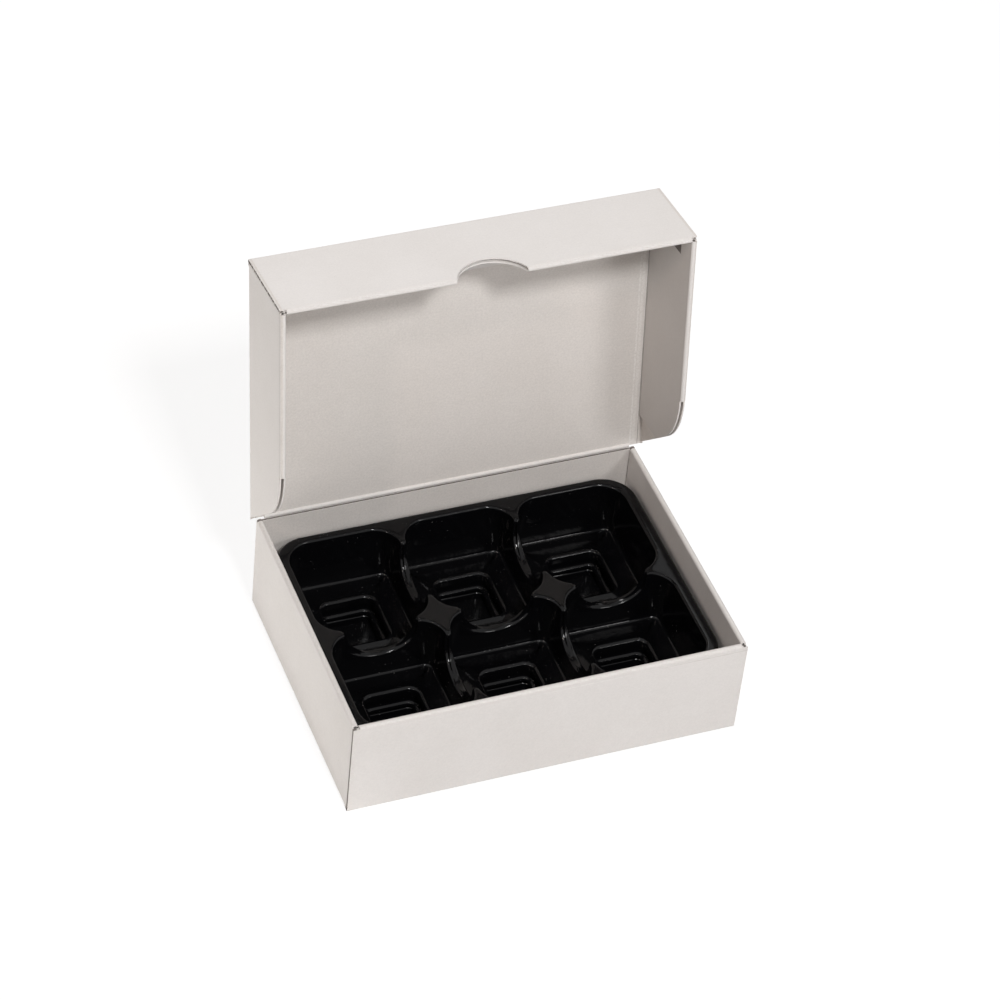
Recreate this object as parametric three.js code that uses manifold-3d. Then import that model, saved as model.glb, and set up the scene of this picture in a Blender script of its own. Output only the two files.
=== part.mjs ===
// A folded paperboard chocolate box with a hinged lid, open, and the black tray moulded for
// six chocolates that rests inside it. Millimetres, +Z up, the front towards -Y, and the
// origin on the underside at the middle of the base.
import * as THREE from 'three';
import { mergeVertices } from 'three/addons/utils/BufferGeometryUtils.js';
import Module from 'manifold-3d';

const wasm = await Module();
wasm.setup();

// Carton base, outside sizes
const baseWidth = 112;
const baseDepth = 82;
const baseHeight = 32;

// Paperboard
const board = 0.42;
const foldClearance = 0.1; // beside a tab that slides between two layers
const seamGap = 0.22; // at a corner, between the outer layer and the fold of the tab behind it
const bendRadius = 0.9; // outside radius of a fold against the bottom or the lid panel
const tabBendRadius = 0.75; // outside radius of an upright corner fold
const tabLength = 14;
const tabTaper = 2.2; // how far a tab narrows towards its free end
const cornerSlit = 0.5; // between two inner layers that meet in a corner
const footGap = 0.25; // an inner layer stops this far above the bottom

// Lid
const lidClearance = 0.5; // each side skirt to the base wall that it closes over
const lidTopGap = 0.3; // closed lid to the rolled tops of the base walls
const skirtHeight = 27; // outside, from the top of the closed lid
const glueStrip = 14; // inner layer of the front skirt glued back on to the panel
const openAngle = 98; // degrees from closed, as the lid stands in the picture
const notchRadius = 10.3;
const notchHeight = 7.7;
const skirtSlant = 52.4; // degrees from the panel, at which a side skirt's hinge end is cut
const skirtCornerRadius = 22.4; // then it is rounded into the skirt's free edge
const skirtRollStart = 31.3; // where the rounding ends and the rolled edge starts
const innerLayerStart = 10; // where the inner layer of a side skirt starts, from the hinge
const lockCutWidth = 6.4; // small three-cornered cut where the skirts' inner layers meet
const lockCutDepth = 6.4;
const lockCutPlace = 17.2; // down from the closed lid's top

// Hinge crease
const beadRadius = 0.75; // swollen crease between the lid panel and the back wall
const hingeGap = 0.45; // crease to the back wall's top

// Moulded tray
const columns = 3;
const rows = 2;
const sheet = 0.4;
const trayClearance = 0.5; // tray to the carton's inner walls
const traySeat = 0.3; // tray above the carton's bottom panel
const rimHeight = 24; // top of the tray above the underside of the carton
const columnPitch = 33.6;
const rowPitch = 36.6;
const webWidth = 1.6; // between two cavities, at the rim, before its edges are rounded
const cavityDepth = 17;
const cavityRadius = 7.6;
const cavityDraft = 3.6; // degrees
const rimFillet = 1.2;
const floorFillet = 2;
const recessWidth = 16.6;
const recessLength = 17.8;
const recessRadius = 3.2;
const recessWall = 4.2; // how far the first step of the recess goes down
const ledgeWidth = 0.8;
const recessDraft = 0.5; // how far the recess narrows down its first step
const recessFootDraft = 0.2; // and down its second
const sharpFillet = 0.05; // least rounding left on the underside of the rim
const trayCornerRadius = 10.5;
const skirtDraft = 2.5; // degrees, on the tray's own outer wall
const outerFillet = 0.8;
const dipRadius = 10;
const dipReach = 3.4; // half the length of the cut across a web

// Sizes that follow
const pocket = board + foldClearance + seamGap;
const wall = 2 * board + pocket; // an outer layer, the pocket for a tab and an inner layer
const rollRadius = wall / 2;
const halfWidth = baseWidth / 2;
const halfDepth = baseDepth / 2;
const lidPanelZ = baseHeight + lidTopGap + board; // the glued strip lies under the closed panel
const hingeY = halfDepth - board / 2;
const hingeZ = lidPanelZ + board / 2;
const lidHalfWidth = halfWidth + lidClearance + wall;
const lidDepth = hingeY + halfDepth + lidClearance + wall; // from the hinge to the skirt's face
const arcSteps = 6;

// Every vertex is put on a grid that 32-bit numbers hold exactly, so that faces which should lie
// in one plane do.
const gridPerMillimetre = 8192;
const solidOf = (geometry) => {
  const plain = geometry.clone();
  plain.deleteAttribute('normal');
  plain.deleteAttribute('uv');
  const merged = mergeVertices(plain, 1e-4);
  const snap = (value) => Math.round(value * gridPerMillimetre) / gridPerMillimetre;
  const mesh = new wasm.Mesh({
    numProp: 3,
    vertProperties: new Float32Array(merged.attributes.position.array).map(snap),
    triVerts: new Uint32Array(merged.index.array),
  });
  return new wasm.Manifold(mesh);
};

const addAll = (solids) => solids.reduce((sum, each) => sum.add(each));
const cutAll = (solid, tools) => tools.reduce((left, tool) => left.subtract(tool), solid);

const meshOf = (name, solid, material) => {
  const { vertProperties, triVerts } = solid.getMesh();
  const geometry = new THREE.BufferGeometry();
  geometry.setAttribute('position', new THREE.BufferAttribute(new Float32Array(vertProperties), 3));
  geometry.setIndex(new THREE.BufferAttribute(new Uint32Array(triVerts), 1));
  geometry.computeVertexNormals();
  const mesh = new THREE.Mesh(geometry, material);
  mesh.name = name;
  return mesh;
};

// Turns a geometry drawn in its own x and y so that they point along right and up, and moves
// it to the origin given. What was extruded then runs along right x up.
const lay = (geometry, right, up, origin) => {
  const x = new THREE.Vector3(...right);
  const y = new THREE.Vector3(...up);
  const turn = new THREE.Matrix4().makeBasis(x, y, new THREE.Vector3().crossVectors(x, y));
  turn.setPosition(...origin);
  return geometry.applyMatrix4(turn);
};

const extrude = (shape, depth) =>
  new THREE.ExtrudeGeometry(shape, { depth, bevelEnabled: false, curveSegments: arcSteps });

const block = (x0, x1, y0, y1, z0, z1) => {
  const geometry = new THREE.BoxGeometry(x1 - x0, y1 - y0, z1 - z0);
  return solidOf(geometry.translate((x0 + x1) / 2, (y0 + y1) / 2, (z0 + z1) / 2));
};

// Section of one board layer that bends up out of a panel: x runs inwards from the outer face
// and y along the wall. A stub of the panel is drawn with it, which joins the panel.
const stub = 1.5;
const startSection = () => {
  const shape = new THREE.Shape();
  shape.moveTo(bendRadius + stub, 0);
  shape.absarc(bendRadius, bendRadius, bendRadius, 1.5 * Math.PI, Math.PI, true);
  return shape;
};
const endSection = (shape) => {
  shape.absarc(bendRadius, bendRadius, bendRadius - board, Math.PI, 1.5 * Math.PI, false);
  shape.lineTo(bendRadius + stub, board);
  shape.closePath();
  return shape;
};
const singleSection = (height) => {
  const shape = startSection();
  shape.lineTo(0, height);
  shape.lineTo(board, height);
  return endSection(shape);
};

// The same with the board rolled over at the free edge, and an inner layer back down to a foot.
const doubleSection = (height, foot) => {
  const shape = startSection();
  const top = height - rollRadius;
  shape.absarc(rollRadius, top, rollRadius, Math.PI, 0, true);
  shape.lineTo(wall, foot);
  shape.lineTo(wall - board, foot);
  shape.absarc(rollRadius, top, pocket / 2, 0, Math.PI, false);
  return endSection(shape);
};

// A glue tab with its upright corner fold: it starts at the fold's outer corner, runs along x
// and is one board thick in y. Both are turned and placed by lay.
const cornerTab = (low, high, right, up, origin) => {
  const bend = new THREE.Shape();
  bend.absarc(0, 0, tabBendRadius, Math.PI, 1.5 * Math.PI, false);
  bend.lineTo(stub, -tabBendRadius);
  bend.lineTo(stub, board - tabBendRadius);
  bend.absarc(0, 0, tabBendRadius - board, 1.5 * Math.PI, Math.PI, true);
  bend.lineTo(board - tabBendRadius, stub);
  bend.lineTo(-tabBendRadius, stub);
  bend.closePath();
  const fold = extrude(bend, high - low).translate(tabBendRadius, tabBendRadius, low);
  const flat = new THREE.Shape();
  flat.moveTo(tabBendRadius + stub / 2, low);
  flat.lineTo(tabLength, low + tabTaper);
  flat.lineTo(tabLength, high - tabTaper);
  flat.lineTo(tabBendRadius + stub / 2, high);
  flat.closePath();
  const plate = lay(extrude(flat, board), [1, 0, 0], [0, 0, 1], [0, board, 0]);
  return addAll([fold, plate].map((each) => solidOf(lay(each, right, up, origin))));
};

const bothSides = (solid) => solid.add(solid.mirror([1, 0, 0]));

// Carton base: one blank folded up, with double front and side walls and a single back wall.
const baseLayerTop = baseHeight - rollRadius;
const sideFrontY = -halfDepth + board + seamGap;
const innerX = halfWidth - wall;
const innerFrontY = -halfDepth + wall;
const innerBackY = halfDepth - board;
const layerMiddle = board + pocket / 2; // from a wall's outer face to the middle of its pocket
const past = 1; // how far a cutter reaches past what it cuts

const makeBase = () => {
  const bottom = block(
    -halfWidth + bendRadius + stub / 2, halfWidth - bendRadius - stub / 2,
    -halfDepth + bendRadius + stub / 2, halfDepth - bendRadius - stub / 2, 0, board,
  );
  const foot = board + footGap;
  const tabLow = bendRadius + foldClearance;
  const tabHigh = baseLayerTop - foldClearance;

  // The front wall's outer layer is full width. Its roll and inner layer stop short of the sides.
  const frontWhole = solidOf(lay(
    extrude(doubleSection(baseHeight, foot), baseWidth),
    [0, 1, 0], [0, 0, 1], [-halfWidth, -halfDepth, 0],
  ));
  const cornerX = innerX - foldClearance;
  const cornerRoll = block(cornerX, halfWidth + past, -halfDepth - past, innerFrontY + past,
    baseLayerTop, baseHeight + past);
  const cornerInner = block(cornerX, halfWidth + past, -halfDepth + layerMiddle, innerFrontY + past,
    foot / 2 + board / 2, baseHeight);
  const front = cutAll(frontWhole, [bothSides(cornerRoll), bothSides(cornerInner)]);

  // Left side: the wall, then the tab behind the front wall, then the back wall's tab inside it.
  const foldY = sideFrontY + tabBendRadius;
  const sideWhole = solidOf(lay(
    extrude(doubleSection(baseHeight, foot), halfDepth - foldY),
    [1, 0, 0], [0, 0, 1], [-halfWidth, halfDepth, 0],
  ));
  const slitCut = (y0, y1) => block(-halfWidth + layerMiddle, -innerX + past, y0, y1,
    foot / 2 + board / 2, baseLayerTop - foldClearance);
  const side = cutAll(sideWhole, [
    slitCut(foldY - past, innerFrontY + cornerSlit),
    slitCut(innerBackY - cornerSlit, halfDepth + past),
  ]);
  const frontTab = cornerTab(tabLow, tabHigh, [1, 0, 0], [0, 1, 0], [-halfWidth, sideFrontY, 0]);
  const backHalf = halfWidth - board - foldClearance;
  const backTab = cornerTab(tabLow, tabHigh, [0, -1, 0], [1, 0, 0], [-backHalf, halfDepth, 0]);

  const backWidth = 2 * (backHalf - tabBendRadius);
  const back = solidOf(lay(
    extrude(singleSection(hingeZ - beadRadius - hingeGap), backWidth),
    [0, -1, 0], [0, 0, 1], [backWidth / 2, halfDepth, 0],
  ));
  return addAll([bottom, front, back, bothSides(addAll([side, frontTab, backTab]))]);
};

// Lid, drawn as it hangs from the hinge line when it is closed: the panel runs from the hinge
// to the front along -y, and its skirts down along -z.
const panelTop = board / 2;
const skirtLayerEnd = skirtHeight - rollRadius;

// What is cut off the hinge end of a side skirt: x runs along the panel from the hinge, and y
// down the skirt. The edge leaves the hinge on a slant and is rounded into the free edge.
const hingeEndWaste = () => {
  const slope = THREE.MathUtils.degToRad(skirtSlant);
  const centreX = skirtRollStart;
  const centreY = skirtLayerEnd - skirtCornerRadius;
  const arcX = centreX - skirtCornerRadius * Math.sin(slope);
  const arcY = centreY + skirtCornerRadius * Math.cos(slope);
  const first = board + footGap;
  const shape = new THREE.Shape();
  shape.moveTo(-past, first);
  shape.lineTo(Math.max(arcX - (arcY - first) / Math.tan(slope), 0), first);
  shape.lineTo(arcX, arcY);
  shape.absarc(centreX, centreY, skirtCornerRadius, Math.PI / 2 + slope, Math.PI / 2, true);
  shape.lineTo(centreX, skirtHeight + past);
  shape.lineTo(-past, skirtHeight + past);
  shape.closePath();
  return shape;
};

const makeLid = () => {
  const frontFace = -lidDepth;
  const panel = block(-lidHalfWidth + bendRadius + stub / 2, lidHalfWidth - bendRadius - stub / 2,
    frontFace + bendRadius + stub / 2, 0, -panelTop, panelTop);
  const beadHalf = innerX - cornerSlit;
  const beadShape = new THREE.CylinderGeometry(beadRadius, beadRadius, 2 * beadHalf, 2 * arcSteps);
  const bead = solidOf(beadShape.rotateZ(Math.PI / 2));

  // The front skirt's outer layer is full width, and its inner layer ends in a strip that is
  // glued back on to the panel.
  const frontWhole = solidOf(lay(
    extrude(doubleSection(skirtHeight, 1.5 * board), 2 * lidHalfWidth),
    [0, 1, 0], [0, 0, -1], [lidHalfWidth, frontFace, panelTop],
  ));
  const cornerX = lidHalfWidth - wall - foldClearance;
  const cornerRoll = block(cornerX, lidHalfWidth + past, frontFace - past, frontFace + wall + past,
    panelTop - skirtHeight - past, panelTop - skirtLayerEnd);
  const cornerInner = block(cornerX, lidHalfWidth + past, frontFace + layerMiddle,
    frontFace + wall + past, panelTop - skirtHeight, panelTop - board - footGap / 2);
  const front = cutAll(frontWhole, [bothSides(cornerRoll), bothSides(cornerInner)]);
  const stripFront = frontFace + wall - board / 2;
  const strip = block(-cornerX, cornerX, stripFront, stripFront + glueStrip,
    panelTop - 2 * board, panelTop - board / 2);
  const notchAxis = skirtHeight - notchHeight + notchRadius;
  const notchShape = new THREE.CylinderGeometry(notchRadius, notchRadius, 4 * wall, 8 * arcSteps);
  const notch = solidOf(notchShape.translate(0, frontFace + wall / 2, panelTop - notchAxis));

  // Right side skirt, with its tab behind the front skirt.
  const foldY = frontFace + board + seamGap + tabBendRadius;
  const sideWhole = solidOf(lay(
    extrude(doubleSection(skirtHeight, board + footGap), -foldY),
    [-1, 0, 0], [0, 0, -1], [lidHalfWidth, 0, panelTop],
  ));
  const waste = solidOf(lay(
    extrude(hingeEndWaste(), wall + 2 * past), [0, -1, 0], [0, 0, -1],
    [lidHalfWidth - wall - past, 0, panelTop],
  ));
  const innerEnd = frontFace + wall + cornerSlit;
  const innerCut = (y0, y1) => block(lidHalfWidth - wall - past, lidHalfWidth - layerMiddle, y0, y1,
    panelTop - skirtLayerEnd + foldClearance, panelTop - board - footGap / 2);
  const lockCut = new THREE.Shape();
  lockCut.moveTo(-past, -lockCutWidth / 2);
  lockCut.lineTo(0, -lockCutWidth / 2);
  lockCut.lineTo(lockCutDepth, 0);
  lockCut.lineTo(0, lockCutWidth / 2);
  lockCut.lineTo(-past, lockCutWidth / 2);
  lockCut.closePath();
  const lockCutter = solidOf(lay(
    extrude(lockCut, board + pocket), [0, 1, 0], [0, 0, 1],
    [lidHalfWidth - wall - pocket / 2, innerEnd, panelTop - lockCutPlace],
  ));
  const side = cutAll(sideWhole, [
    waste, innerCut(foldY - past, innerEnd), innerCut(-innerLayerStart, past), lockCutter,
  ]);
  const tab = cornerTab(bendRadius + foldClearance, skirtLayerEnd - foldClearance,
    [-1, 0, 0], [0, 1, 0], [lidHalfWidth, frontFace + board + seamGap, panelTop]);
  return addAll([panel, bead, front, strip, bothSides(side.add(tab))]).subtract(notch);
};

// A ring of points round a rectangle with rounded corners, at one height.
const cornerSteps = 4;
const ring = (halfX, halfY, radius, z) => {
  const points = [];
  for (let corner = 0; corner < 4; corner += 1) {
    const signX = corner === 0 || corner === 3 ? 1 : -1;
    const signY = corner < 2 ? 1 : -1;
    for (let step = 0; step <= cornerSteps; step += 1) {
      const angle = (corner + step / cornerSteps) * (Math.PI / 2);
      points.push([
        signX * (halfX - radius) + radius * Math.cos(angle),
        signY * (halfY - radius) + radius * Math.sin(angle),
        z,
      ]);
    }
  }
  return points;
};

// A closed solid through rings that are listed from the lowest up.
const loft = (rings) => {
  const count = rings[0].length;
  const positions = rings.flat(2);
  const index = [];
  for (let level = 0; level < rings.length - 1; level += 1) {
    for (let i = 0; i < count; i += 1) {
      const a = level * count + i;
      const b = level * count + ((i + 1) % count);
      index.push(a, b, b + count, a, b + count, a + count);
    }
  }
  const last = (rings.length - 1) * count;
  for (let i = 1; i < count - 1; i += 1) {
    index.push(0, i + 1, i);
    index.push(last, last + i, last + i + 1);
  }
  const geometry = new THREE.BufferGeometry();
  geometry.setAttribute('position', new THREE.Float32BufferAttribute(positions, 3));
  geometry.setIndex(index);
  return solidOf(geometry);
};

const radians = THREE.MathUtils.degToRad;
const filletSteps = 3;
const trayBottom = board + traySeat;
const cavityFloor = rimHeight - cavityDepth;
const recessFloor = trayBottom + sheet;
const ledgeHeight = cavityFloor - recessWall;

// The space of one cavity, grown by the sheet's thickness where the underside is cut.
const cavitySpace = (grow) => {
  const wallHalfX = (columnPitch - webWidth) / 2;
  const wallHalfY = (rowPitch - webWidth) / 2;
  const at = (z) => Math.tan(radians(cavityDraft)) * (rimHeight - z);
  const level = (inset, z) =>
    ring(wallHalfX - inset + grow, wallHalfY - inset + grow, cavityRadius - inset + grow, z);
  const recess = (inset, z) => ring(recessWidth / 2 - inset + grow, recessLength / 2 - inset + grow,
    recessRadius - inset + grow, z);
  const rings = [
    recess(recessDraft + ledgeWidth + recessFootDraft, recessFloor - grow),
    recess(recessDraft + ledgeWidth, ledgeHeight - grow),
    recess(recessDraft, ledgeHeight - grow),
    recess(0, cavityFloor - grow),
  ];
  for (let step = 0; step <= filletSteps; step += 1) {
    const angle = (step / filletSteps) * (Math.PI / 2);
    const z = cavityFloor + floorFillet * (1 - Math.cos(angle));
    rings.push(level(at(z) + floorFillet * (1 - Math.sin(angle)), z - grow * Math.cos(angle)));
  }
  const flare = Math.max(rimFillet - grow, sharpFillet);
  for (let step = 0; step <= filletSteps; step += 1) {
    const angle = (step / filletSteps) * (Math.PI / 2);
    const z = rimHeight - grow - flare * (1 - Math.sin(angle));
    rings.push(level(at(z) * (1 - step / filletSteps) - flare * (1 - Math.cos(angle)), z));
  }
  rings.push(level(-flare, rimHeight + past));
  return loft(rings);
};

// The half-round dip in the web between two neighbours. It cuts along x.
const dipSpace = (grow) => {
  const geometry = new THREE.CylinderGeometry(
    dipRadius + grow, dipRadius + grow, 2 * dipReach, 6 * arcSteps,
  );
  return solidOf(geometry.rotateZ(Math.PI / 2)).translate([0, 0, rimHeight]);
};

const makeTray = () => {
  const halfX = halfWidth - wall - trayClearance;
  const halfY = (innerBackY - innerFrontY) / 2 - trayClearance;
  const middleY = (innerBackY + innerFrontY) / 2;
  const height = rimHeight - trayBottom;
  const lean = Math.tan(radians(skirtDraft)) * height;
  const outerForm = (inset, drop, low) => {
    const rings = [ring(halfX - inset, halfY - inset, trayCornerRadius - inset, low)];
    for (let step = 0; step <= filletSteps; step += 1) {
      const angle = (step / filletSteps) * (Math.PI / 2);
      const z = rimHeight - drop - outerFillet * (1 - Math.sin(angle));
      const inwards = inset + lean + outerFillet * (1 - Math.cos(angle));
      rings.push(ring(halfX - inwards, halfY - inwards, trayCornerRadius - inwards, z));
    }
    return loft(rings);
  };
  const spread = (count, pitch) =>
    Array.from({ length: count }, (_, i) => (i - (count - 1) / 2) * pitch);
  const columnPlaces = spread(columns, columnPitch);
  const rowPlaces = spread(rows, rowPitch);
  const spaces = (grow) => {
    const cavity = cavitySpace(grow);
    const dip = dipSpace(grow);
    const crossDip = dip.rotate([0, 0, 90]);
    const found = [];
    for (const x of columnPlaces) {
      for (const y of rowPlaces) {
        found.push(cavity.translate([x, y, 0]));
        if (x < columnPlaces[columns - 1]) found.push(dip.translate([x + columnPitch / 2, y, 0]));
        if (y < rowPlaces[rows - 1]) found.push(crossDip.translate([x, y + rowPitch / 2, 0]));
      }
    }
    return found;
  };
  const upper = cutAll(outerForm(0, 0, trayBottom), spaces(0));
  const under = cutAll(outerForm(sheet, sheet, trayBottom - past), spaces(sheet));
  return upper.subtract(under).translate([0, middleY, 0]);
};

const whiteBoard = new THREE.MeshStandardMaterial({ color: 0xdedad6, roughness: 0.62, metalness: 0 });
const blackPlastic = new THREE.MeshStandardMaterial({ color: 0x0b0b0d, roughness: 0.16, metalness: 0 });

const lid = meshOf('carton_lid', makeLid(), whiteBoard);
lid.position.set(0, hingeY, hingeZ);
lid.rotation.x = -radians(openAngle);

const box = new THREE.Group();
box.add(meshOf('carton_base', makeBase(), whiteBoard));
box.add(lid);
box.add(meshOf('insert_tray', makeTray(), blackPlastic));

export default box;
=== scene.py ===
import math

import bpy
from mathutils import Matrix, Vector


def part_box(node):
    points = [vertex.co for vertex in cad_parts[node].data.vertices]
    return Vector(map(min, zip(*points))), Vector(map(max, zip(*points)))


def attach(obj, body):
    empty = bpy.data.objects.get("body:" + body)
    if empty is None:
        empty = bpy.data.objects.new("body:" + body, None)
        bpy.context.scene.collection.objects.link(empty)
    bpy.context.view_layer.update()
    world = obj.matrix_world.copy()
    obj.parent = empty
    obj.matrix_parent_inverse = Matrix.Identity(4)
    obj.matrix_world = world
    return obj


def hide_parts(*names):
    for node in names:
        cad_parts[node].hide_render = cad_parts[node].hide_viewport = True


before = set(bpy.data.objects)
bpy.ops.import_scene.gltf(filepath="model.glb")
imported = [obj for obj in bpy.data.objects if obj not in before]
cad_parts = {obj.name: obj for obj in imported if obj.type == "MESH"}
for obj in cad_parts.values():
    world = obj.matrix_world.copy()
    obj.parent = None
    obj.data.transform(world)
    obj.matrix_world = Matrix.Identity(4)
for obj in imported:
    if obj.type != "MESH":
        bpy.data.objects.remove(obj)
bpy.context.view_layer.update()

mm = 0.001


# Carton base. One blank of white clay-coated paperboard, cut, creased and folded up into a tray
# with double walls whose tops are rolled over. The coated side shows on every double wall, and
# the greyer uncoated side shows inside the single back wall and on the bottom.
coated_white = (0.80, 0.772, 0.752, 1)
uncoated_grey = (0.745, 0.705, 0.672, 1)
rubbed_fibre = (0.70, 0.655, 0.62, 1)
torn_fibre = (0.90, 0.875, 0.85, 1)
# The next two are painted shade for scored creases and painted shadow for open slits and grooves
crease_painted_shade = (0.50, 0.46, 0.43, 1)
slit_painted_shadow = (0.10, 0.08, 0.07, 1)
speck_brown = (0.33, 0.29, 0.26, 1)
base_low, base_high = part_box("carton_base")
base_half = [(high - low) / 2 / mm for low, high in zip(base_low, base_high)]
score_depth = 1.9


def add_node(tree, kind, values=(), **settings):
    """Adds a node, sets its properties, and fills its sockets with values or links."""
    node = tree.nodes.new(kind)
    for name, value in settings.items():
        setattr(node, name, value)
    for socket, value in dict(values).items():
        if isinstance(value, bpy.types.NodeSocket):
            tree.links.new(value, node.inputs[socket])
        else:
            node.inputs[socket].default_value = value
    return node


def math_of(tree, operation, first, second=0.0, third=0.0):
    return add_node(tree, "ShaderNodeMath", {0: first, 1: second, 2: third},
                    operation=operation).outputs[0]


def vector_of(tree, operation, first, second=(0, 0, 0)):
    return add_node(tree, "ShaderNodeVectorMath", {0: first, 1: second},
                    operation=operation).outputs[0]


def product_of(tree, first, *others):
    """The values multiplied together: of masks, where all of them hold."""
    for other in others:
        first = math_of(tree, "MULTIPLY", first, other)
    return first


def greatest_of(tree, first, *others):
    """The greatest of the values: of masks, where any of them holds."""
    for other in others:
        first = math_of(tree, "MAXIMUM", first, other)
    return first


def ramp_of(tree, value, low, high, at_low=0.0, at_high=1.0):
    """A soft step from at_low to at_high as the value goes from low to high."""
    node = add_node(tree, "ShaderNodeMapRange", {
        "Value": value, "From Min": low, "From Max": high, "To Min": at_low, "To Max": at_high,
    }, interpolation_type="SMOOTHSTEP")
    return node.outputs["Result"]


def fall_of(tree, value, low, high):
    """A soft step from 1 down to 0 as the value goes from low to high."""
    return ramp_of(tree, value, low, high, 1.0, 0.0)


def noise_of(tree, place, scale, detail=2.0, roughness=0.5):
    node = add_node(tree, "ShaderNodeTexNoise", {
        "Vector": place, "Scale": scale, "Detail": detail, "Roughness": roughness,
    })
    return node.outputs["Fac"]


def colour_of(tree, red, green, blue):
    return add_node(tree, "ShaderNodeCombineColor", {0: red, 1: green, 2: blue}).outputs[0]


def mix_colours(tree, factor, first, second, blend="MIX"):
    node = add_node(tree, "ShaderNodeMix", {0: factor, 6: first, 7: second},
                    data_type="RGBA", blend_type=blend)
    return node.outputs[2]


def new_group(name, inputs, outputs):
    group = bpy.data.node_groups.new(name, "ShaderNodeTree")
    for socket, kind in inputs.items():
        group.interface.new_socket(socket, in_out="INPUT", socket_type=f"NodeSocket{kind}")
    for socket, kind in outputs.items():
        group.interface.new_socket(socket, in_out="OUTPUT", socket_type=f"NodeSocket{kind}")
    return group, group.nodes.new("NodeGroupInput"), group.nodes.new("NodeGroupOutput")


# Distance in millimetres from a point on a folded box to its nearest fold or corner edge: the
# middle one of the distances to the box's faces.
folds, entry, leave = new_group(
    "fold_distance", {"Place": "Vector", "Half size": "Vector"}, {"Distance": "Float"})
from_middle = vector_of(folds, "ABSOLUTE", entry.outputs["Place"])
from_faces = vector_of(folds, "SUBTRACT", entry.outputs["Half size"], from_middle)
from_faces = vector_of(folds, "ABSOLUTE", from_faces)
split = add_node(folds, "ShaderNodeSeparateXYZ", {0: from_faces}).outputs
lesser = math_of(folds, "MINIMUM", split[0], split[1])
greater = math_of(folds, "MAXIMUM", split[0], split[1])
lower = math_of(folds, "MINIMUM", greater, split[2])
folds.links.new(math_of(folds, "MAXIMUM", lesser, lower), leave.inputs["Distance"])

# The board's own surface: clouded colour, fibres that run one way, rare specks, and the coat
# worn and cracked along the folds, with painted shade and shadow at creases and slits. Place is
# in millimetres. Crease is a little over 0 where the coat is torn to a pale line, 1 where the
# board is pressed in and painted dark as the crease's shade, and 2 in an open slit painted dark
# as its shadow.
board, entry, leave = new_group(
    "board_surface",
    {"Place": "Vector", "Fold distance": "Float", "Uncoated": "Float", "Crease": "Float",
     "Coated colour": "Color", "Uncoated colour": "Color"},
    {"Colour": "Color", "Roughness": "Float", "Normal": "Vector"})
place = entry.outputs["Place"]
uncoated = entry.outputs["Uncoated"]
crease = entry.outputs["Crease"]
along_grain = vector_of(board, "MULTIPLY", place, (0.35, 1.0, 1.0))
fibres = noise_of(board, along_grain, 2.6, detail=5.0, roughness=0.62)
tooth = noise_of(board, place, 7.0, detail=3.0)
clouds = noise_of(board, place, 0.055, detail=3.0, roughness=0.55)
blotches = noise_of(board, place, 0.35, detail=4.0, roughness=0.6)
grain = noise_of(board, place, 1.6, detail=3.0, roughness=0.8)
specks = noise_of(board, place, 1.15, detail=1.0)
breaking = noise_of(board, place, 1.7, detail=4.0, roughness=0.7)
worn = product_of(board, fall_of(board, entry.outputs["Fold distance"], 0.1, 1.5),
                  ramp_of(board, breaking, 0.42, 0.66))

# Its colour, from the plain coat or bare board to the marks that lie over it, and painted shade
# and painted shadow in creases and slits
colour = mix_colours(board, uncoated, entry.outputs["Coated colour"],
                     entry.outputs["Uncoated colour"])
cloud_shade = [ramp_of(board, clouds, 0.25, 0.75, darkest, 1.01)
               for darkest in (0.98, 0.977, 0.972)]
colour = mix_colours(board, 1.0, colour, colour_of(board, *cloud_shade), "MULTIPLY")
grain_depth = math_of(board, "MULTIPLY_ADD", uncoated, 0.20, 0.16)
grain_off = math_of(board, "SUBTRACT", grain, 0.5)
grain_grey = math_of(board, "MULTIPLY_ADD", grain_off, grain_depth, 1.0)
grain_shade = colour_of(board, grain_grey, grain_grey, grain_grey)
colour = mix_colours(board, 1.0, colour, grain_shade, "MULTIPLY")
blotch_depth = math_of(board, "MULTIPLY_ADD", uncoated, 0.05, 0.05)
blotch_grey = ramp_of(board, blotches, 0.3, 0.7, 0.86, 1.06)
blotch_shade = colour_of(board, blotch_grey, blotch_grey, blotch_grey)
colour = mix_colours(board, blotch_depth, colour, blotch_shade, "MULTIPLY")
colour = mix_colours(board, product_of(board, worn, 0.42), colour, rubbed_fibre)
torn = product_of(board, ramp_of(board, crease, 0.02, 0.25), fall_of(board, crease, 0.35, 0.6),
                  ramp_of(board, breaking, 0.38, 0.55))
colour = mix_colours(board, product_of(board, torn, 0.6), colour, torn_fibre)
# Painted shade in scored creases, then painted shadow in open slits and grooves
colour = mix_colours(board, ramp_of(board, crease, 0.5, 1.0, 0.0, 0.45), colour, crease_painted_shade)
colour = mix_colours(board, ramp_of(board, crease, 1.0, 2.0, 0.0, 0.9), colour, slit_painted_shadow)
speck_mask = ramp_of(board, specks, 0.80, 0.83)
colour = mix_colours(board, product_of(board, speck_mask, 0.35), colour, speck_brown)
board.links.new(colour, leave.inputs["Colour"])

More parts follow.
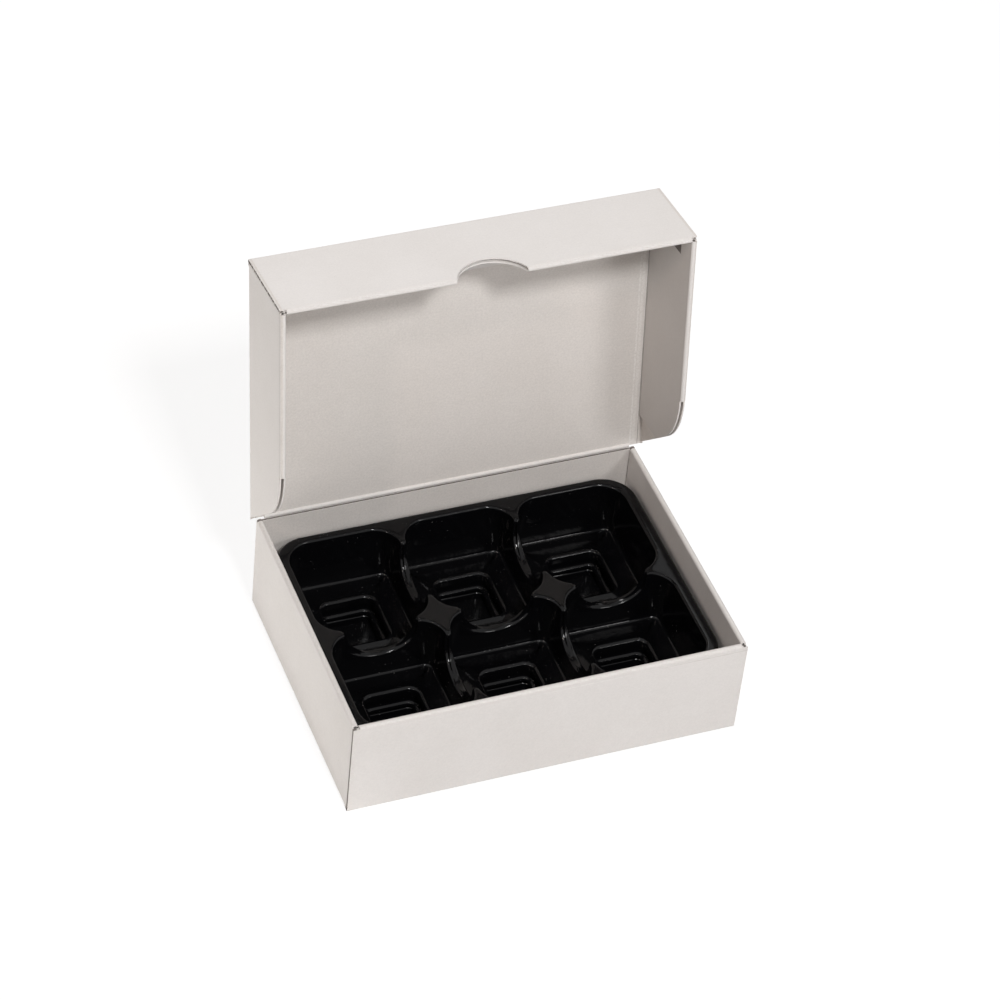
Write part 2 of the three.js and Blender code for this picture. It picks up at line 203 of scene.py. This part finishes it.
# Its roughness and its relief
rough = math_of(board, "MULTIPLY_ADD", uncoated, 0.30, 0.47)
rough = math_of(board, "MULTIPLY_ADD", worn, 0.2, rough)
rough = math_of(board, "MULTIPLY_ADD", fibres, 0.12, rough)
board.links.new(rough, leave.inputs["Roughness"])
fibre_height = math_of(board, "MULTIPLY_ADD", uncoated, 0.6, 0.35)
relief = product_of(board, fibres, fibre_height)
relief = math_of(board, "MULTIPLY_ADD", tooth, product_of(board, fibre_height, 0.3), relief)
relief = math_of(board, "MULTIPLY_ADD", clouds, 5.0, relief)
relief = math_of(board, "MULTIPLY_ADD", worn, -0.8, relief)
relief = math_of(board, "MULTIPLY_ADD", crease, -3.0, relief)
bump = add_node(board, "ShaderNodeBump",
                {"Strength": 0.5, "Distance": 0.05 * mm, "Height": relief})
board.links.new(bump.outputs["Normal"], leave.inputs["Normal"])


def board_material(name, turn, centre, half_size, uncoated_mask, crease_shade_mask):
    """White board on one folded box. centre and turn bring a place on it into the box's frame,
    where the masks tell which side of the board shows, and where it is creased and painted with
    shade or shadow."""
    material = bpy.data.materials.new(name)
    material.use_nodes = True
    tree = material.node_tree
    shader = tree.nodes["Principled BSDF"]
    shader.inputs["IOR"].default_value = 1.45
    shader.inputs["Specular IOR Level"].default_value = 0.42
    coordinates = add_node(tree, "ShaderNodeTexCoord")
    turned = add_node(tree, "ShaderNodeMapping", {
        "Vector": vector_of(tree, "SUBTRACT", coordinates.outputs["Object"], centre),
        "Rotation": (turn, 0, 0), "Scale": (1 / mm, 1 / mm, 1 / mm),
    }, vector_type="POINT").outputs[0]
    facing = add_node(tree, "ShaderNodeMapping", {
        "Vector": coordinates.outputs["Normal"], "Rotation": (turn, 0, 0),
    }, vector_type="POINT").outputs[0]
    at = add_node(tree, "ShaderNodeSeparateXYZ", {0: turned}).outputs
    faces = add_node(tree, "ShaderNodeSeparateXYZ", {0: facing}).outputs
    distance = add_node(tree, "ShaderNodeGroup", node_tree=folds)
    tree.links.new(turned, distance.inputs["Place"])
    distance.inputs["Half size"].default_value = half_size
    surface = add_node(tree, "ShaderNodeGroup", node_tree=board)
    tree.links.new(turned, surface.inputs["Place"])
    tree.links.new(distance.outputs[0], surface.inputs["Fold distance"])
    tree.links.new(uncoated_mask(tree, at, faces), surface.inputs["Uncoated"])
    tree.links.new(crease_shade_mask(tree, at, faces), surface.inputs["Crease"])
    surface.inputs["Coated colour"].default_value = coated_white
    surface.inputs["Uncoated colour"].default_value = uncoated_grey
    tree.links.new(surface.outputs["Colour"], shader.inputs["Base Color"])
    tree.links.new(surface.outputs["Roughness"], shader.inputs["Roughness"])
    tree.links.new(surface.outputs["Normal"], shader.inputs["Normal"])
    return material


def base_uncoated(tree, at, faces):
    """The inside of the back wall and the upper side of the bottom."""
    above_bottom = math_of(tree, "ADD", at[2], base_half[2])
    back = product_of(tree, ramp_of(tree, at[1], base_half[1] - 6, base_half[1] - 5),
                      fall_of(tree, faces[1], -0.6, -0.5))
    bottom = product_of(tree, fall_of(tree, above_bottom, 0.7, 1.0),
                        ramp_of(tree, faces[2], 0.5, 0.6))
    return greatest_of(tree, back, bottom)


def score_line(tree, place, middle, strength, width=0.3):
    """A line where the board is scored, strongest in its middle."""
    off = math_of(tree, "ABSOLUTE", math_of(tree, "SUBTRACT", place, middle))
    return ramp_of(tree, off, 0.04, width, strength, 0.0)


def corner_slit_shadows(tree, at, half_size):
    """Painted shadow in the slit at each front corner, between the front's outer layer and the
    side's bend.
    """
    behind_front = math_of(tree, "ADD", at[1], half_size[1])
    past_side = math_of(tree, "SUBTRACT", math_of(tree, "ABSOLUTE", at[0]), half_size[0])
    return product_of(tree, ramp_of(tree, behind_front, 0.34, 0.4, 0.0, 1.9),
                      fall_of(tree, behind_front, 1.0, 1.3), ramp_of(tree, past_side, -1.1, -0.9))


def base_crease_shade(tree, at, faces):
    """Painted shade along a second score line under the front wall's rolled top, deepest towards
    the right end, and painted shadow in the front corners' slits and in the groove where the back
    wall goes into the crease."""
    behind_front = math_of(tree, "ADD", at[1], base_half[1])
    under_back = math_of(tree, "SUBTRACT", at[1], base_half[1])
    under_top = math_of(tree, "SUBTRACT", at[2], base_half[2])
    # Painted shade along the second score line
    line = product_of(tree, score_line(tree, under_top, -score_depth, 1.0, 0.32),
                      ramp_of(tree, at[0], -10, 50, 0.1, 0.9),
                      fall_of(tree, behind_front, 1.0, 2.0), fall_of(tree, faces[1], -0.9, -0.8))
    # Painted shadow in the groove under the back wall's top
    groove_shadow = product_of(tree, ramp_of(tree, under_top, -0.75, -0.4, 0.0, 2.0),
                        ramp_of(tree, under_back, -1.2, -0.8),
                        fall_of(tree, under_back, -0.25, -0.15))
    return greatest_of(tree, line, corner_slit_shadows(tree, at, base_half), groove_shadow)


base_board = board_material(
    "base_board", 0.0, (0, 0, base_half[2] * mm), base_half, base_uncoated, base_crease_shade)
carton_base = bpy.data.objects["carton_base"]
carton_base.data.materials.clear()
carton_base.data.materials.append(base_board)


# Carton lid. The same blank goes on past the back wall's crease into the lid: a single panel
# whose front and side skirts are folded double, with a thumb notch die-cut through both layers.
open_angle = math.radians(98)
board_thickness = 0.42
lid_half = (58.08, 41.94, 13.5)
hinge = Vector((0, base_half[1] - board_thickness / 2, 32.93)) * mm
lid_middle = Vector((0, -lid_half[1], board_thickness / 2 - lid_half[2])) * mm
lid_centre = hinge + Matrix.Rotation(-open_angle, 3, "X") @ lid_middle


def lid_uncoated(tree, at, faces):
    """The inside of the panel, up to the strip of the front skirt that is glued on to it, and the
    inside of the side skirts' outer layers, which shows past the inner layers near the hinge."""
    under_panel = math_of(tree, "SUBTRACT", at[2], lid_half[2])
    past_side = math_of(tree, "SUBTRACT", math_of(tree, "ABSOLUTE", at[0]), lid_half[0])
    panel = product_of(tree, ramp_of(tree, under_panel, -0.75, -0.55),
                       fall_of(tree, faces[2], -0.6, -0.5))
    skirts = product_of(tree, ramp_of(tree, past_side, -0.78, -0.58),
                        fall_of(tree, past_side, -0.28, -0.13))
    return greatest_of(tree, panel, skirts)


def lid_crease_shade(tree, at, faces):
    """Score lines on the panel beside the folds of the side skirts, with two more at the right
    one, pale lines with a little painted shade in the deepest; a line just inside the skirts'
    rolled edges, painted dark as shade; and, inside the lid, the line where each side skirt starts
    and the small slot in its inner layer, both painted dark as shadow. The front corners' slits,
    painted dark as shadow, are here and there closed."""
    sideways = math_of(tree, "ABSOLUTE", at[0])
    behind_front = math_of(tree, "ADD", at[1], lid_half[1])
    past_side = math_of(tree, "SUBTRACT", sideways, lid_half[0])
    inside = product_of(tree, ramp_of(tree, behind_front, 1.44, 1.74),
                        fall_of(tree, at[2], 13.1, 13.2))
    panel_lines = greatest_of(tree, score_line(tree, sideways, 55.9, 0.7),
                              score_line(tree, at[0], 55.1, 0.5, 0.45),
                              score_line(tree, at[0], 54.2, 0.4, 0.4))
    panel_lines = product_of(tree, panel_lines, fall_of(tree, faces[2], -0.9, -0.8))
    # Painted shade along the line inside the skirts' rolled edges
    skirt_edge = product_of(tree, score_line(tree, at[2], -12.4, 1.3),
                            ramp_of(tree, math_of(tree, "ABSOLUTE", faces[0]), 0.8, 0.9))
    # Painted shadow along the fold where each side skirt starts
    skirt_root = product_of(tree, score_line(tree, sideways, 56.4, 1.5, 0.22), inside)
    along_corner = add_node(tree, "ShaderNodeCombineXYZ", {0: at[2]}).outputs[0]
    closing = noise_of(tree, along_corner, 0.7, detail=2.0)
    # Painted shadow in the front corners' slits, here and there closed
    slits = product_of(tree, corner_slit_shadows(tree, at, lid_half),
                       ramp_of(tree, closing, 0.40, 0.52, 0.3, 1.0))
    # Painted shadow over the slot in each side skirt's inner layer
    slot_shadow = product_of(tree, ramp_of(tree, past_side, -1.88, -1.73, 0.0, 2.0),
                      fall_of(tree, past_side, -0.18, -0.08), inside,
                      fall_of(tree, behind_front, 8.84, 9.04),
                      ramp_of(tree, at[2], -6.9, -6.7), fall_of(tree, at[2], -1.1, -0.9))
    return greatest_of(tree, panel_lines, skirt_edge, skirt_root, slits, slot_shadow)


lid_board = board_material("lid_board", open_angle, lid_centre, lid_half, lid_uncoated, lid_crease_shade)
carton_lid = bpy.data.objects["carton_lid"]
carton_lid.data.materials.clear()
carton_lid.data.materials.append(lid_board)


# Insert tray. One sheet of glossy black plastic, heated and drawn by vacuum over a mould: square
# cavities with a stepped recess in each floor, half-round dips between neighbours, a flat rim
# and a leaning outer wall. It rests loose in the carton. Its sizes are in millimetres.
plastic_black = (0.0026, 0.0026, 0.0032, 1)
dust_grey = (0.16, 0.155, 0.15, 1)
tray_low, tray_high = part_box("insert_tray")
pitch_half = (16.8, 18.3)
cavity_half = (16.0, 17.5)
cavity_radius = 7.6
foot_radius = 3.4
foot_round = 0.7
bead_radius = 1.0
rim_height = tray_high.z / mm
floor_height = rim_height - 17
draft = math.tan(math.radians(3.6))
rim_round = 0.8
dip_radius = 10.0
dip_round = 1.5
recess_half = (8.3, 8.9)
recess_radius = 3.2
recess_flat = 2.4
recess_step = 2.8
recess_floor = 1.12
outer_foot = tray_low.z / mm
outer_lean = 1.016
outer_round = 0.8
outer_radius = 10.5 - outer_lean - outer_round
outer_half = [(high - low) / 2 / mm - outer_lean - outer_round
              for low, high in zip(tray_low, tray_high)]
tray_middle = (tray_high.y + tray_low.y) / 2 / mm
sheet_thickness = 0.4

# From the middle of a dip, where its rounded edge ends in the flat rim, and where its arc
# meets that edge
dip_end = math.sqrt((dip_radius + dip_round) ** 2 - dip_round ** 2)
dip_meet = dip_end * dip_radius / (dip_radius + dip_round)


def web_height(along):
    """Height of the web between two cavities, at a distance from the middle of its dip."""
    along = abs(along)
    if along <= dip_meet:
        return rim_height - math.sqrt(dip_radius ** 2 - along ** 2)
    if along < dip_end:
        return rim_height - dip_round + math.sqrt(dip_round ** 2 - (dip_end - along) ** 2)
    return rim_height


def beaded_path(corners, radii, steps=3):
    """A line of points through the corners. Each inner corner turns about the centre that a round
    of its own radius would have, but at bead_radius from it: being wider, it stands out past the
    corner as a low bead or groove."""
    path = [Vector(corners[0])]
    for before, corner, after, radius in zip(corners, corners[1:], corners[2:], radii):
        back = (Vector(before) - Vector(corner)).normalized()
        on = (Vector(after) - Vector(corner)).normalized()
        half = back.angle(on) / 2
        centre = Vector(corner) + (back + on).normalized() * (radius / math.sin(half))
        first = (Vector(corner) + back * (radius / math.tan(half)) - centre).normalized()
        last = (Vector(corner) + on * (radius / math.tan(half)) - centre).normalized()
        path += [centre + first.slerp(last, step / steps) * bead_radius
                 for step in range(steps + 1)]
    return path + [Vector(corners[-1])]


# Inset from the recess's or the cavity's outline, and height, up to where the wall starts
recess_path = beaded_path(
    [(recess_flat, recess_floor), (1.5, recess_floor), (1.3, recess_step), (0.5, recess_step),
     (0.0, floor_height), (-1.5, floor_height)], [0.35, 0.12, 0.12, 0.25])
wall_foot = draft * (rim_height - floor_height)
cavity_path = beaded_path(
    [(4.0, floor_height), (wall_foot, floor_height),
     (draft * dip_radius, rim_height - dip_radius)], [foot_round], 5)[:-1]


def shares(steps):
    """Equal steps from just above 0 up to 1."""
    return [step / steps for step in range(1, steps + 1)]


def side_distances(half):
    """Places along half a side, close together where the dip's edge rises steeply."""
    steep = math.asin(dip_meet / dip_radius)
    turn = math.asin((dip_end - dip_meet) / dip_round)
    places = [0] + [dip_radius * math.sin(steep * share) for share in shares(8)]
    places += [dip_end - dip_round * math.sin(turn * (1 - share)) for share in shares(4)]
    return places + [dip_end + (half - dip_end) * share for share in shares(5)]


def draw_down(side, sign, distance, reach, outer):
    """Points of the sheet on a line from the middle of a cell out over one of its sides: each a
    place in the cell and a height. reach and outer tell how far off the cell's four borders are,
    and which of them are the tray's own."""
    normal = Vector((math.cos(side * math.pi / 2), math.sin(side * math.pi / 2)))
    tangent = Vector((-normal.y, normal.x)) * sign
    across, length = side % 2, 1 - side % 2
    next_side = (side + sign) % 4
    straight = cavity_half[length] - cavity_radius
    along = min(distance / straight, 1)
    turn = math.radians(45) * max(distance - straight, 0) / (pitch_half[length] - straight)
    direction = normal * math.cos(turn) + tangent * math.sin(turn)

    def outline(half, radius, inset):
        corner = normal * (half[across] - radius) + tangent * along * (half[length] - radius)
        return corner + direction * (radius - inset)

    def cavity(inset, z):
        """The cavity's outline at a height: its corners are tighter towards the floor."""
        down = min((rim_height - z) / (rim_height - floor_height), 1)
        return outline(cavity_half, cavity_radius + (foot_radius - cavity_radius) * down, inset)

    def top(point):
        return rim_height if outer[side] else web_height(point.dot(tangent))

    # Where the line crosses the cell's border, and which way is outwards there
    outwards = normal
    if outer[side] and outer[next_side]:
        flat = reach[next_side] - outer_radius
        run = distance / pitch_half[length] * (flat + outer_radius * math.pi / 4)
        bend = max(run - flat, 0) / outer_radius
        outwards = normal * math.cos(bend) + tangent * math.sin(bend)
        border = normal * (reach[side] - outer_radius) + tangent * min(run, flat)
        border += outwards * outer_radius
    else:
        spread = (reach[next_side] - dip_end) / (pitch_half[length] - dip_end)
        past_dip = max(distance - dip_end, 0)
        border = normal * reach[side] + tangent * (min(distance, dip_end) + past_dip * spread)

    # The recess, then the floor and the round at its edge
    foot = outline(recess_half, recess_radius, recess_flat)
    points = [(foot * size, recess_floor) for size in (0, 0.45, 0.8)]
    points += [(outline(recess_half, recess_radius, inset), z) for inset, z in recess_path]
    points += [(cavity(inset, z), z) for inset, z in cavity_path]

    # The wall, and the round at its top, as large as the room up to the border lets it be
    high = top(outline(cavity_half, cavity_radius, 0))
    room = (border - cavity(draft * (rim_height - high), high)).length
    rounding = min(rim_round, 0.85 * room)
    low = cavity_path[-1].y
    for share in shares(4):
        z = low + (high - rounding - low) * share
        points.append((cavity(draft * (rim_height - z), z), z))
    wall_inset = draft * (rim_height - high + rounding)
    for share in shares(5):
        angle = share * math.pi / 2
        inset = wall_inset - rounding * (1 - math.cos(angle))
        z = high - rounding * (1 - math.sin(angle))
        points.append((cavity(inset, z), z))

    # The rim or the web out to the border, and the tray's outer wall with the round at its top
    edge = points[-1][0]
    for share in shares(3):
        point = edge.lerp(border, share)
        points.append((point, top(point)))
    if outer[side]:
        for share in shares(4):
            angle = share * math.pi / 2
            points.append((border + outwards * outer_round * math.sin(angle),
                           rim_height - outer_round * (1 - math.cos(angle))))
        wall_top = rim_height - outer_round
        for share in shares(4):
            points.append((border + outwards * (outer_round + outer_lean * share),
                           wall_top + (outer_foot - wall_top) * share))
    return points


bpy.ops.object.select_all(action="DESELECT")
cell_sides = []
for column in (-1, 0, 1):
    for row in (-1, 1):
        centre = Vector((2 * column * pitch_half[0], row * pitch_half[1]))
        outer = (column == 1, row == 1, column == -1, row == -1)
        reach = [outer_half[side % 2] - abs(centre[side % 2]) if outer[side]
                 else pitch_half[side % 2] for side in range(4)]
        for side in range(4):
            distances = side_distances(pitch_half[1 - side % 2])
            lines = [(-1, each) for each in reversed(distances[1:])]
            lines += [(1, each) for each in distances]
            drawn = [draw_down(side, sign, each, reach, outer) for sign, each in lines]
            rings = len(drawn[0])
            bpy.ops.mesh.primitive_grid_add(
                x_subdivisions=rings - 1, y_subdivisions=len(drawn) - 1, size=2)
            patch = bpy.context.object
            for vertex in patch.data.vertices:
                ring = round((vertex.co.x + 1) / 2 * (rings - 1))
                line = round((vertex.co.y + 1) / 2 * (len(drawn) - 1))
                point, z = drawn[line][ring]
                vertex.co = Vector((point.x + centre.x, point.y + centre.y + tray_middle, z)) * mm
            cell_sides.append(patch)
for patch in cell_sides:
    patch.select_set(True)
bpy.context.view_layer.objects.active = cell_sides[0]
bpy.ops.object.join()
tray_sheet = bpy.context.object
tray_sheet.name = "tray_sheet"
bpy.ops.object.mode_set(mode="EDIT")
bpy.ops.mesh.select_all(action="SELECT")
bpy.ops.mesh.remove_doubles(threshold=0.004 * mm)
bpy.ops.mesh.dissolve_degenerate(threshold=0.001 * mm)
bpy.ops.object.mode_set(mode="OBJECT")
thickness = tray_sheet.modifiers.new("sheet", "SOLIDIFY")
thickness.thickness = sheet_thickness * mm
thickness.offset = -1
bpy.ops.object.modifier_apply(modifier=thickness.name)
bpy.ops.object.shade_smooth_by_angle(angle=math.radians(40))

# Glossy and nearly black, hazy in places, with some dust. Drawn down over the mould, it is a
# little wavy on its walls and wrinkled at their feet.
tray_black = bpy.data.materials.new("tray_black")
tray_black.use_nodes = True
tree = tray_black.node_tree
shader = tree.nodes["Principled BSDF"]
shader.inputs["IOR"].default_value = 1.34
shader.inputs["Specular IOR Level"].default_value = 0.40
coordinates = add_node(tree, "ShaderNodeTexCoord")
place = vector_of(tree, "MULTIPLY", coordinates.outputs["Object"], (1 / mm, 1 / mm, 1 / mm))
drawn_out = vector_of(tree, "MULTIPLY", place, (1.0, 1.0, 0.25))
height = add_node(tree, "ShaderNodeSeparateXYZ", {0: place}).outputs[2]
haze = noise_of(tree, place, 0.09, detail=3.0)
streaks = noise_of(tree, drawn_out, 1.1, detail=4.0, roughness=0.65)
grit = noise_of(tree, place, 2.3, detail=0.0)
waves = noise_of(tree, drawn_out, 0.22, detail=2.0)
wrinkles = noise_of(tree, drawn_out, 0.5, detail=1.0)
dust = product_of(tree, ramp_of(tree, grit, 0.83, 0.86), ramp_of(tree, haze, 0.48, 0.64))
colour = mix_colours(tree, dust, plastic_black, dust_grey)
tree.links.new(colour, shader.inputs["Base Color"])
rough = math_of(tree, "MULTIPLY_ADD", ramp_of(tree, haze, 0.3, 0.7), 0.04, 0.05)
rough = math_of(tree, "MULTIPLY_ADD", streaks, 0.04, rough)
rough = math_of(tree, "MULTIPLY_ADD", dust, 0.5, rough)
tree.links.new(rough, shader.inputs["Roughness"])
near_foot = product_of(tree, ramp_of(tree, height, floor_height - 0.3, floor_height),
                       fall_of(tree, height, floor_height + 0.6, floor_height + 3.2))
relief = math_of(tree, "MULTIPLY_ADD", waves, 3.0, streaks)
relief = math_of(tree, "MULTIPLY_ADD", product_of(tree, wrinkles, near_foot), 2.5, relief)
bump = add_node(tree, "ShaderNodeBump",
                {"Strength": 0.35, "Distance": 0.05 * mm, "Height": relief})
tree.links.new(bump.outputs["Normal"], shader.inputs["Normal"])
tray_sheet.data.materials.append(tray_black)
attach(tray_sheet, "base")
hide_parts("insert_tray")


# Floor and light. A pale seamless light table in a photo studio, lit from below on its left. It
# shows white to the camera and keeps the box's soft shadow. The key lamp hangs high in front, with
# one at the right, a wide one behind, and a small weak one at the left.
table_size = 8
below_colour = (1, 0.975, 0.92, 1)
below_strength = 0.88
seen_strength = 0.78
room_colour = (1, 0.93, 0.88, 1)
room_strength = 0.14
lamp_aim = Vector((0, 0, 0.03))


def seen_directly(tree):
    """1 for what the camera sees, also in a gloss or through glass, and 0 for all other light."""
    rays = add_node(tree, "ShaderNodeLightPath").outputs
    return greatest_of(tree, rays["Is Camera Ray"], rays["Is Glossy Ray"],
                       rays["Is Transmission Ray"])


def sum_of(tree, first, second):
    return add_node(tree, "ShaderNodeAddShader", {0: first, 1: second}).outputs[0]


bpy.ops.object.select_all(action="DESELECT")
bpy.ops.mesh.primitive_plane_add(size=table_size)
table_top = bpy.context.object
table_top.name = "table_top"
table_white = bpy.data.materials.new("table_white")
table_white.use_nodes = True
tree = table_white.node_tree
tree.nodes.clear()
coordinates = add_node(tree, "ShaderNodeTexCoord")
where = add_node(tree, "ShaderNodeSeparateXYZ", {0: coordinates.outputs["Object"]}).outputs
panel = product_of(tree, ramp_of(tree, where[0], -0.50, -0.35),
                   fall_of(tree, where[0], -0.09, -0.03), ramp_of(tree, where[1], -0.09, -0.03))
matt = add_node(tree, "ShaderNodeBsdfDiffuse", {"Color": (0.8, 0.8, 0.8, 1)}).outputs[0]
from_below = add_node(tree, "ShaderNodeEmission", {
    "Color": below_colour, "Strength": product_of(tree, panel, below_strength)}).outputs[0]
matt_seen = add_node(tree, "ShaderNodeBsdfDiffuse", {"Color": (0.30, 0.30, 0.30, 1)}).outputs[0]
glow_seen = add_node(tree, "ShaderNodeEmission", {
    "Color": (1, 1, 1, 1), "Strength": seen_strength}).outputs[0]
surface = add_node(tree, "ShaderNodeMixShader", {
    0: seen_directly(tree), 1: sum_of(tree, matt, from_below),
    2: sum_of(tree, matt_seen, glow_seen)}).outputs[0]
add_node(tree, "ShaderNodeOutputMaterial", {"Surface": surface})
table_top.data.materials.append(table_white)

world = bpy.data.worlds.new("studio")
bpy.context.scene.world = world
world.use_nodes = True
tree = world.node_tree
tree.nodes.clear()
room = add_node(tree, "ShaderNodeBackground", {
    "Color": room_colour, "Strength": room_strength}).outputs[0]
white = add_node(tree, "ShaderNodeBackground", {"Color": (1, 1, 1, 1), "Strength": 1.0}).outputs[0]
surface = add_node(tree, "ShaderNodeMixShader",
                   {0: seen_directly(tree), 1: room, 2: white}).outputs[0]
add_node(tree, "ShaderNodeOutputWorld", {"Surface": surface})

# Each lamp's place and width in metres, its power in watts, and its colour
for name, position, width, power, colour in (
    ("key_lamp", (-0.03, -0.63, 0.90), 0.13, 5.6, (1, 1, 1)),
    ("right_lamp", (0.48, -0.77, 0.63), 0.24, 2.3, (1, 0.99, 0.985)),
    ("back_lamp", (0.0, 0.75, 0.80), 0.6, 4.0, (1, 1, 1)),
    ("left_lamp", (-0.72, -0.33, 0.75), 0.05, 1.0, (1, 0.86, 0.79)),
):
    light = bpy.data.lights.new(name, "AREA")
    light.shape = "SQUARE"
    light.size = width
    light.energy = power
    light.color = colour
    lamp = bpy.data.objects.new(name, light)
    bpy.context.scene.collection.objects.link(lamp)
    lamp.location = position
    lamp.rotation_euler = (lamp_aim - lamp.location).to_track_quat("-Z", "Y").to_euler()


# Camera. Fitted to the corners of the carton in the picture, in units of the carton's width.
picture_size = 1000
focal_pixels = 3870.0
azimuth, elevation, roll = (math.radians(angle) for angle in (-25.026, 43.109, 6.520))
carton_width = 2 * base_half[0] * mm
stand_off, across, above = (carton_width * each for each in (9.5538, -0.0230, 0.4045))
view_line = Vector((-math.sin(azimuth) * math.cos(elevation),
                    math.cos(azimuth) * math.cos(elevation), -math.sin(elevation)))
level_right = Vector((math.cos(azimuth), math.sin(azimuth), 0))
upright = level_right.cross(view_line)
right = level_right * math.cos(roll) + upright * math.sin(roll)
up = right.cross(view_line)
camera_data = bpy.data.cameras.new("camera")
camera_data.lens = camera_data.sensor_width * focal_pixels / picture_size
camera_data.clip_start = 0.01
camera = bpy.data.objects.new("camera", camera_data)
bpy.context.scene.collection.objects.link(camera)
camera.matrix_world = Matrix((
    (right.x, up.x, -view_line.x, 0),
    (right.y, up.y, -view_line.y, 0),
    (right.z, up.z, -view_line.z, 0),
    (0, 0, 0, 1),
))
camera.location = -stand_off * view_line + across * level_right + above * upright
bpy.context.scene.camera = camera
bpy.context.scene.view_settings.view_transform = "Standard"
